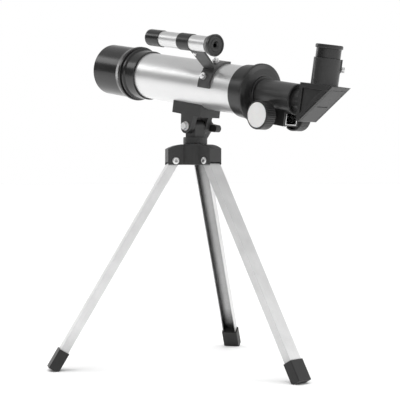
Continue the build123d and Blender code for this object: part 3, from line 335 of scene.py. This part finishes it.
for number, degrees in enumerate(LEG_AZIMUTHS, start=1):
    down, face = leg_axes(degrees)
    # hollow_shade_tone paints shade inside each leg's open channel.
    dress(metal(f"leg_aluminium_{number}", 0.80, 0.38, down, face, hollow_shade_tone=0.05), f"leg_{number}")

dress(rubber("foot_rubber"), "foot_1", "foot_2", "foot_3")

dress(metal("rivet_steel", 0.88, 0.42, Vector((0, 0, 1)), Vector((1, 0, 0))),
      "leg_rivet_1", "leg_rivet_2", "leg_rivet_3")
dress(metal("screw_steel", 0.88, 0.42, Vector((0, 1, 0)), Vector((0, 0, 1))),
      "tilt_bolt", "pan_bolt", "retaining_washer", "retainer_screws", "cradle_screws",
      "cradle_nuts", "bracket_studs", "bracket_nuts", "finder_clamp_screw", "pinion_shaft")
dress(metal("chrome_steel", 0.88, 0.22, Vector((0, 1, 0)), Vector((0, 0, 1))),
      "eyepiece_thumbscrew")
dress(metal("retainer_steel", 0.72, 0.22, ALONG, UPRIGHT), "pinion_retainer")
dress(steel_paint("bracket_paint"), "finder_bracket")
dress(plastic("gear_plastic", 0.012, 0.4), "pinion_gear")
dress(glass("lens_glass"), "crown_lens", "flint_lens", "finder_objective", "finder_eye_lens",
      "field_lens", "eye_lens")
dress(metal("mirror_glass", 0.9, 0.08, Vector((0, 1, 0)), UPRIGHT, depth=0.0000002, stain=0.02),
      "diagonal_mirror")
dress(metal("spacer_foil", 0.7, 0.3, Vector((0, 1, 0)), UPRIGHT), "lens_spacer")
dress(matt_black("baffle_black"), "front_baffle", "rear_baffle", "lens_retaining_ring",
      "field_lens_ring")
dress(white_plastic("nylon", 0.6), "tilt_washers", "pan_washer")

# ------------------------------------------------------------------ stage and light
FLOOR_HALF = 30            # metres


def stage_plane(name, half, material):
    """A level square at floor height that isn't part of the object."""
    mesh = bpy.data.meshes.new(name)
    mesh.from_pydata(
        [(-half, -half, 0), (half, -half, 0), (half, half, 0), (-half, half, 0)], [], [(0, 1, 2, 3)]
    )
    made = bpy.data.objects.new(name, mesh)
    mesh.materials.append(material)
    scene.collection.objects.link(made)


floor_finish = Finish("floor_paper", Specular_IOR_Level=0.1)
paper = floor_finish.noise(floor_finish.place(), 60, 4, 0.6)
floor_finish.set("Base Color", floor_finish.blend(paper, rgb(0.90), rgb(0.94)))
floor_finish.set("Roughness", 0.8)
stage_plane("floor", FLOOR_HALF, floor_finish.done())


def softbox(name, place, target, width, height, power):
    """A rectangular light at a place, turned to a target; metres and watts."""
    data = bpy.data.lights.new(name, "AREA")
    data.shape = "RECTANGLE"
    data.size = width
    data.size_y = height
    data.energy = power
    lamp = bpy.data.objects.new(name, data)
    lamp.location = place
    lamp.rotation_euler = (Vector(target) - Vector(place)).to_track_quat("-Z", "Y").to_euler()
    scene.collection.objects.link(lamp)


TUBE_CENTRE = (0, 0, 0.3)
HOLDER_CENTRE = (0.19, 0, 0.3)
softbox("key", (-1.6, -0.7, 1.35), TUBE_CENTRE, 1.3, 0.5, 4.5)
softbox("side", (1.5, 0.9, 0.9), TUBE_CENTRE, 1.0, 0.8, 5)
softbox("strip", (-2.4, -0.39, 0.55), HOLDER_CENTRE, 0.24, 1.5, 5)

# A broad overhead light for the paper, kept out of the reflections.
OVERHEAD_POWER = 2.3
OVERHEAD_SPREAD = 80       # degrees
OVERHEAD_TURN = (radians(12), radians(8), 0)
overhead = bpy.data.lights.new("overhead", "SUN")
overhead.energy = OVERHEAD_POWER
overhead.angle = radians(OVERHEAD_SPREAD)
overhead_lamp = bpy.data.objects.new("overhead", overhead)
overhead_lamp.rotation_euler = OVERHEAD_TURN
overhead_lamp.visible_glossy = False
scene.collection.objects.link(overhead_lamp)


WALL_LIGHT = 0.85
DARK_SIDE = 0.18
DARK_START, DARK_FULL = 0.2, 0.62          # cosines of the angle from -Y
CEILING_LIGHT = 0.55
CEILING_START, CEILING_FULL = 0.3, 0.6     # sines of the height angle
BACKDROP_LIGHT = 1.0                       # what the camera itself sees


def studio_world():
    """Bright walls and ceiling, with a dark wall on the -Y side."""
    world = bpy.data.worlds.new("studio")
    world.use_nodes = True
    scene.world = world
    tree = world.node_tree
    tree.nodes.clear()

    def add(kind, values, **settings):
        made = tree.nodes.new(kind)
        for name, value in settings.items():
            setattr(made, name, value)
        for index, value in values.items():
            if isinstance(value, bpy.types.NodeSocket):
                tree.links.new(value, made.inputs[index])
            else:
                made.inputs[index].default_value = value
        return made

    coords = add("ShaderNodeTexCoord", {}).outputs["Generated"]
    height = add("ShaderNodeSeparateXYZ", {0: coords}).outputs["Z"]
    facing = add("ShaderNodeVectorMath", {0: coords, 1: (0.0, -1.0, 0.0)}, operation="DOT_PRODUCT")
    walls = add("ShaderNodeMapRange", {
        "Value": facing.outputs["Value"], "From Min": DARK_START, "From Max": DARK_FULL,
        "To Min": WALL_LIGHT, "To Max": DARK_SIDE,
    }, interpolation_type="SMOOTHSTEP").outputs["Result"]
    ceiling = add("ShaderNodeMapRange", {
        "Value": height, "From Min": CEILING_START, "From Max": CEILING_FULL,
        "To Min": 0.0, "To Max": 1.0,
    }).outputs["Result"]
    room = add("ShaderNodeMix", {"Factor": ceiling, "A": walls, "B": CEILING_LIGHT})
    seen = add("ShaderNodeLightPath", {}).outputs["Is Camera Ray"]
    strength = add("ShaderNodeMix", {"Factor": seen, "A": room.outputs["Result"], "B": BACKDROP_LIGHT})
    sky = add("ShaderNodeBackground", {"Color": rgb(1.0), "Strength": strength.outputs["Result"]})
    add("ShaderNodeOutputWorld", {"Surface": sky.outputs["Background"]})


studio_world()

scene.view_settings.view_transform = "Standard"
